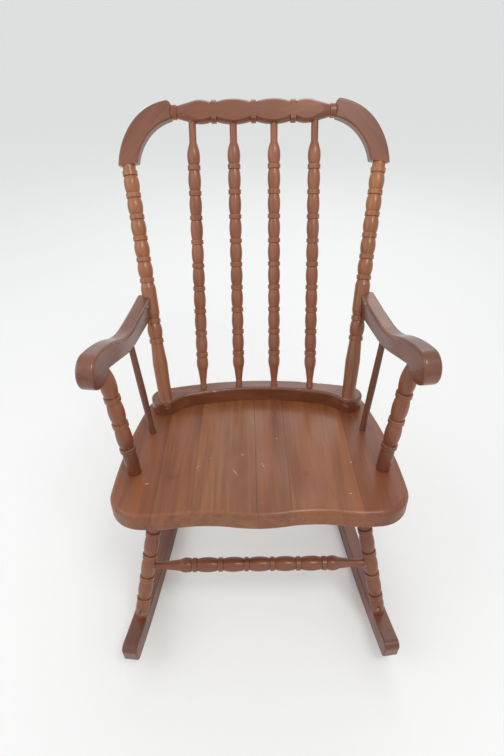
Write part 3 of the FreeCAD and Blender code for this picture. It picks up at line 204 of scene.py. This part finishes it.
def spot(t, mark, soft):
    """A mask of one oval mark on the seat's top."""
    x, y, half_length, half_width, turn = mark
    place = t.node("ShaderNodeTexCoord").outputs["Object"]
    flat = t.node("ShaderNodeVectorMath", {0: place, 1: (1, 1, 0)}, operation="MULTIPLY").outputs[0]
    local = t.node("ShaderNodeMapping", {"Vector": flat, "Location": (x, y, 0), "Rotation": (0, 0, turn),
                                         "Scale": (half_length, half_width, 1)},
                   vector_type="TEXTURE").outputs[0]
    far = t.node("ShaderNodeVectorMath", {0: local}, operation="LENGTH").outputs["Value"]
    return t.ramp(far, 1.0, 1.0 - soft)


def upward(t, low, high):
    """A mask of the faces that look up."""
    normal = t.node("ShaderNodeNewGeometry").outputs["Normal"]
    z = t.node("ShaderNodeSeparateXYZ", {0: normal}).outputs["Z"]
    return t.ramp(z, low, high)


def wood(name, kind, middle, axis, seed, tone=None, low_end=None, marks=False):
    """Lacquered hardwood with its grain along axis. low_end is (colour, from, to) along the axis."""
    look = WOODS[kind]
    base = linear(tone or look["tone"])
    t = Tree(name)
    along = piece_coordinates(t, middle, axis)
    moved = t.node("ShaderNodeVectorMath", {0: along, 1: tuple(seed * shift for shift in SEED_SHIFT)},
                   operation="ADD").outputs[0]

    # grain: broad bands, streaks and fine pores, all drawn out along the piece
    bands = t.noise(t.stretched(moved, 1, 1, BANDS[1]), BANDS[0], 3, 0.55, 1.1)
    streaks = t.noise(t.stretched(moved, 1, 1, STREAKS[1]), STREAKS[0], 4, 0.62)
    pores = t.noise(t.stretched(moved, 1, 1, PORES[1]), PORES[0], 2, 0.6)
    clouds = t.noise(moved, CLOUD_SCALE, 2, 0.5)

    if low_end:
        shade, start, end = low_end
        z = t.node("ShaderNodeSeparateXYZ", {0: along}).outputs["Z"]
        uneven = t.math("ADD", z, t.math("MULTIPLY", t.math("SUBTRACT", bands, 0.5), 0.02))
        start_colour = t.blend(t.ramp(uneven, start, end), linear(shade), base)
    else:
        start_colour = base
    dark = t.blend(1.0, start_colour, DARK_FIGURE, "MULTIPLY")
    colour = t.blend(t.ramp(bands, 0.35, 0.68), dark, start_colour)
    light = t.blend(1.0, start_colour, LIGHT_STREAK, "MULTIPLY")
    colour = t.blend(t.math("MULTIPLY", t.ramp(streaks, 0.50, 0.74), STREAK_DEPTH), colour, light)
    colour = t.blend(t.math("MULTIPLY", t.ramp(pores, 0.60, 0.72), PORE_DEPTH), colour,
                     scaled(base, PORE_SHADE))
    cloudy = t.blend(1.0, colour, CLOUD_TINT, "MULTIPLY")
    colour = t.blend(t.ramp(clouds, 0.35, 0.70, 0.0, 0.28), colour, cloudy)

    # worn lacquer and a painted highlight on the edges, and painted shade in the grooves and recesses
    inside = t.node("ShaderNodeAmbientOcclusion", {"Distance": WEAR_AND_HIGHLIGHT_REACH}, inside=True, samples=8,
                    only_local=True).outputs["AO"]
    outside = t.node("ShaderNodeAmbientOcclusion", {"Distance": PAINTED_SHADE_REACH}, samples=8).outputs["AO"]
    broken = t.ramp(t.noise(moved, CHIP_SCALE, 4, 0.65), 0.34, 0.66)
    # convex edges turn lighter: partly worn lacquer, partly a painted highlight
    edge = t.math("MULTIPLY", t.ramp(inside, 0.80, 0.30), broken)
    if marks:
        # on the seat the worn, highlit edge keeps off the flat top, so it draws a painted highlight line
        # along the rolled front edge
        flat_top = upward(t, 0.90, 0.98)
        edge = t.math("MULTIPLY", edge, t.math("SUBTRACT", 1.0, flat_top))
        near_joint = t.node("ShaderNodeAmbientOcclusion", {"Distance": JOINT_REACH}, inside=True, samples=8,
                            only_local=True).outputs["AO"]
        joint = t.math("MULTIPLY", t.ramp(near_joint, 0.85, 0.45), flat_top)
        colour = t.blend(t.math("MULTIPLY", joint, JOINT_DEPTH), colour, scaled(base, 0.35))
    worn_and_highlit = t.math("MULTIPLY", edge, look["wear_and_highlight_strength"], True)
    colour = t.blend(worn_and_highlit, colour, linear(look["worn_and_highlit"]))
    # painted shade: darker in grooves, corners and recesses, where the outside occlusion finds shade
    painted_shade = t.ramp(outside, 0.70, 0.25, 0.0, PAINTED_SHADE_DEPTH)
    colour = t.blend(painted_shade, colour, scaled(base, PAINTED_SHADE_FACTOR))

    height = t.math("MULTIPLY", pores, 0.5)
    rough = t.math("ADD", t.ramp(clouds, 0.3, 0.7, look["rough"] - 0.05, look["rough"] + 0.07),
                   t.math("MULTIPLY", worn_and_highlit, 0.22))
    if marks:
        top = upward(t, 0.90, 0.98)
        for knot in KNOTS:
            ring = t.math("MULTIPLY", spot(t, knot, 0.95), top)
            colour = t.blend(t.math("MULTIPLY", ring, 0.50), colour, scaled(base, 0.38))
        for scratch in SCRATCHES:
            line = t.math("MULTIPLY", spot(t, scratch, 0.6), top)
            line = t.math("MULTIPLY", line, t.ramp(t.noise(moved, 420, 2, 0.6), 0.38, 0.56))
            colour = t.blend(t.math("MULTIPLY", line, 0.85), colour, linear(SCRATCH_COLOUR))
            height = t.math("SUBTRACT", height, t.math("MULTIPLY", line, 1.2))
        specks = t.node("ShaderNodeTexVoronoi", {"Vector": moved, "Scale": SPECK_SCALE}).outputs["Distance"]
        speck = t.math("MULTIPLY", t.ramp(specks, 0.045, 0.025), t.ramp(clouds, 0.50, 0.60))
        colour = t.blend(t.math("MULTIPLY", t.math("MULTIPLY", speck, top), 0.7), colour,
                         linear(SPECK_COLOUR))

    soft = t.node("ShaderNodeBevel", {"Radius": EDGE_SOFTNESS}, samples=6).outputs[0]
    relief = t.node("ShaderNodeBump", {"Strength": RELIEF_STRENGTH, "Distance": RELIEF_HEIGHT,
                                          "Height": height, "Normal": soft})
    settings = {"Base Color": colour, "Roughness": rough, "Normal": relief.outputs[0],
                "Coat Weight": look["coat"], "Coat Roughness": COAT_ROUGHNESS, "IOR": LACQUER_IOR}
    return t.finish(t.node("ShaderNodeBsdfPrincipled", settings))


def steel():
    """Plain steel of the wood screws, dulled and a little stained."""
    t = Tree("ScrewSteel")
    place = t.node("ShaderNodeTexCoord").outputs["Object"]
    stains = t.noise(place, 700, 4, 0.6)
    colour = t.blend(t.ramp(stains, 0.40, 0.66), linear(STAINED_STEEL), linear(BRIGHT_STEEL))
    rough = t.ramp(stains, 0.35, 0.7, 0.55, 0.30)
    relief = t.node("ShaderNodeBump", {"Strength": 0.2, "Distance": 0.1 * MM, "Height": stains})
    return t.finish(t.node("ShaderNodeBsdfPrincipled", {"Base Color": colour, "Metallic": 1.0,
                                                        "Roughness": rough, "Normal": relief.outputs[0]}))


def low_end_of(look, low, high):
    """A low end's tone with its two places along a piece that reaches from low to high."""
    tone, start, end = look
    return tone, low + start * (high - low), low + end * (high - low)


def dress(name, material):
    """Gives a CAD node its material."""
    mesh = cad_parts[name].data
    mesh.materials.clear()
    mesh.materials.append(material)


ALONG_SEAT = Vector((0, math.cos(SEAT_TILT), -math.sin(SEAT_TILT)))
KINDS = [
    ("seat_board", "seat"), ("back_rail", "rail"), ("back_post", "post"), ("back_spindle", "turned"),
    ("crest_rail", "crest"), ("crest_dowels", "dowel"), ("corner_block", "block"),
    ("arm_post", "turned"), ("arm_spindle", "turned"), ("arm_left", "arm"), ("arm_right", "arm"),
    ("front_leg", "turned"), ("rear_leg", "turned"), ("front_stretcher", "turned"),
    ("rear_stretcher", "turned"), ("rocker_left", "rocker"), ("rocker_right", "rocker"),
]

screw_steel = steel()
for seed, name in enumerate(sorted(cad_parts), start=1):
    if name.endswith("screws"):
        dress(name, screw_steel)
        continue
    kind = next(k for start, k in KINDS if name.startswith(start))
    middle, axis, low, high = long_axis(name)
    tone = None
    low_end = None
    if kind == "seat":
        axis = ALONG_SEAT
        tone = BOARD_TONES[int(name[-1]) - 1]
    if name.startswith("arm_post"):
        low_end = low_end_of(ARM_POST_LOW, low, high)
    if name.startswith("back_post"):
        low_end = low_end_of(BACK_POST_LOW, low, high)
    if name.startswith("arm_spindle"):
        tone = ARM_SPINDLE_TONE
    if "_leg_" in name or "stretcher" in name:
        tone = LEG_TONE
    if name == "crest_dowels":
        axis = Vector((1, 0, 0))
    material = wood("Wood_" + name, kind, middle, axis, seed, tone, low_end, marks=(kind == "seat"))
    dress(name, material)

# the room: a pale floor, an even pale light all round and soft lamps
floor_mesh = bpy.data.meshes.new("Floor")
corners = [(-FLOOR_HALF, -FLOOR_HALF, 0), (FLOOR_HALF, -FLOOR_HALF, 0), (FLOOR_HALF, FLOOR_HALF, 0),
           (-FLOOR_HALF, FLOOR_HALF, 0)]
floor_mesh.from_pydata(corners, [], [(0, 1, 2, 3)])
floor = bpy.data.objects.new("Floor", floor_mesh)
bpy.context.scene.collection.objects.link(floor)
t = Tree("FloorPaint")
seen_directly = t.node("ShaderNodeLightPath").outputs["Is Camera Ray"]
floor_mesh.materials.append(t.finish(t.node("ShaderNodeBsdfPrincipled", {
    "Base Color": linear(FLOOR_COLOUR), "Roughness": 0.75, "Emission Color": linear(ROOM_COLOUR),
    "Emission Strength": t.math("MULTIPLY", seen_directly, FLOOR_GLOW)})))

world = bpy.data.worlds.new("Room")
bpy.context.scene.world = world
world.use_nodes = True
backdrop = world.node_tree.nodes["Background"]
backdrop.inputs["Color"].default_value = linear(ROOM_COLOUR)
rays = world.node_tree.nodes.new("ShaderNodeLightPath")
seen = world.node_tree.nodes.new("ShaderNodeMath")
seen.operation = "MAXIMUM"
world.node_tree.links.new(rays.outputs["Is Camera Ray"], seen.inputs[0])
world.node_tree.links.new(rays.outputs["Is Glossy Ray"], seen.inputs[1])
strength = world.node_tree.nodes.new("ShaderNodeMapRange")
strength.inputs["To Min"].default_value = ROOM_LIGHT
strength.inputs["To Max"].default_value = 1.0
world.node_tree.links.new(seen.outputs[0], strength.inputs["Value"])
world.node_tree.links.new(strength.outputs["Result"], backdrop.inputs["Strength"])


def lamp(name, place, target, size, power):
    """A square soft lamp that looks at target."""
    light = bpy.data.lights.new(name, "AREA")
    light.size = size
    light.energy = power
    made = bpy.data.objects.new(name, light)
    made.location = place
    made.rotation_euler = (Vector(target) - Vector(place)).to_track_quat("-Z", "Y").to_euler()
    bpy.context.scene.collection.objects.link(made)


for settings in LAMPS:
    lamp(*settings)

forward = Vector((math.sin(CAMERA_YAW) * math.cos(CAMERA_PITCH),
                  math.cos(CAMERA_YAW) * math.cos(CAMERA_PITCH),
                  -math.sin(CAMERA_PITCH)))
level = forward.cross(Vector((0, 0, 1))).normalized()
upright = level.cross(forward)
right = level * math.cos(CAMERA_ROLL) + upright * math.sin(CAMERA_ROLL)
up = upright * math.cos(CAMERA_ROLL) - level * math.sin(CAMERA_ROLL)
camera_data = bpy.data.cameras.new("Camera")
camera_data.sensor_width = SENSOR
camera_data.lens = CAMERA_LENS
camera_data.clip_start = 0.01
camera_data.clip_end = 200.0
camera = bpy.data.objects.new("Camera", camera_data)
camera.matrix_world = Matrix.Translation(CAMERA_PLACE) @ Matrix((right, up, -forward)).transposed().to_4x4()
bpy.context.scene.collection.objects.link(camera)
bpy.context.scene.camera = camera

bpy.context.scene.view_settings.view_transform = "Standard"
